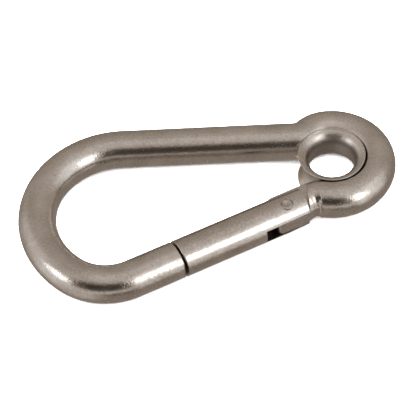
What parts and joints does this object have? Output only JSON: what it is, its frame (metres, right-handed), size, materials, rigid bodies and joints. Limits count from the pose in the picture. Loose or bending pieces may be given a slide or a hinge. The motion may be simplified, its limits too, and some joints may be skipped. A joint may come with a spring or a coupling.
{
  "type": "spring hook with eyelet",
  "caption": "Stainless steel spring hook bent from round bar, with an inward-opening sprung gate, latch tongue and a captive flared eyelet in the eye.",
  "frame": {"origin": "centre of the eyelet bore, at the middle of the bar's thickness", "axes": "+Z along the eyelet bore, square to the plane of the hook; +X from the bend towards the eye; the straight back of the hook is on the +Y side and the gate on the -Y side"},
  "size_m": [0.0801, 0.0466, 0.008],
  "materials": {
    "body_steel": "polished stainless",
    "gate_steel": "polished stainless",
    "rivet_steel": "ground flush",
    "spring_steel": "bright drawn wire",
    "plunger_steel": "turned",
    "eyelet_steel": "pressed and polished stainless"
  },
  "bodies": {
    "hook": {"hook_body": "body_steel"},
    "gate": {"gate": "gate_steel", "hinge_rivet": "rivet_steel", "gate_spring": "spring_steel"},
    "plunger": {"plunger": "plunger_steel"},
    "thimble": {"thimble": "eyelet_steel"}
  },
  "joints": [
    {"name": "gate_hinge", "type": "hinge", "parent": "hook", "child": "gate", "pos_m": [-0.01017, -0.01304, 0], "axis": [0, 0, -1], "range_deg": [0, 28], "stiffness_Nm_per_rad": 0.0285, "springref_deg": -98.55},
    {"name": "plunger_slide", "type": "slide", "parent": "gate", "child": "plunger", "axis": [-0.9054, -0.4245, 0], "range_m": [0, 0.00087], "deforming": ["gate_spring"]},
    {"name": "thimble_turn", "type": "hinge", "parent": "hook", "child": "thimble", "pos_m": [0, 0, 0], "axis": [0, 0, 1], "continuous": true}
  ],
  "couplings": [
    {"joint": "plunger_slide", "follows": "gate_hinge", "m_per_rad": 0.00175}
  ]
}
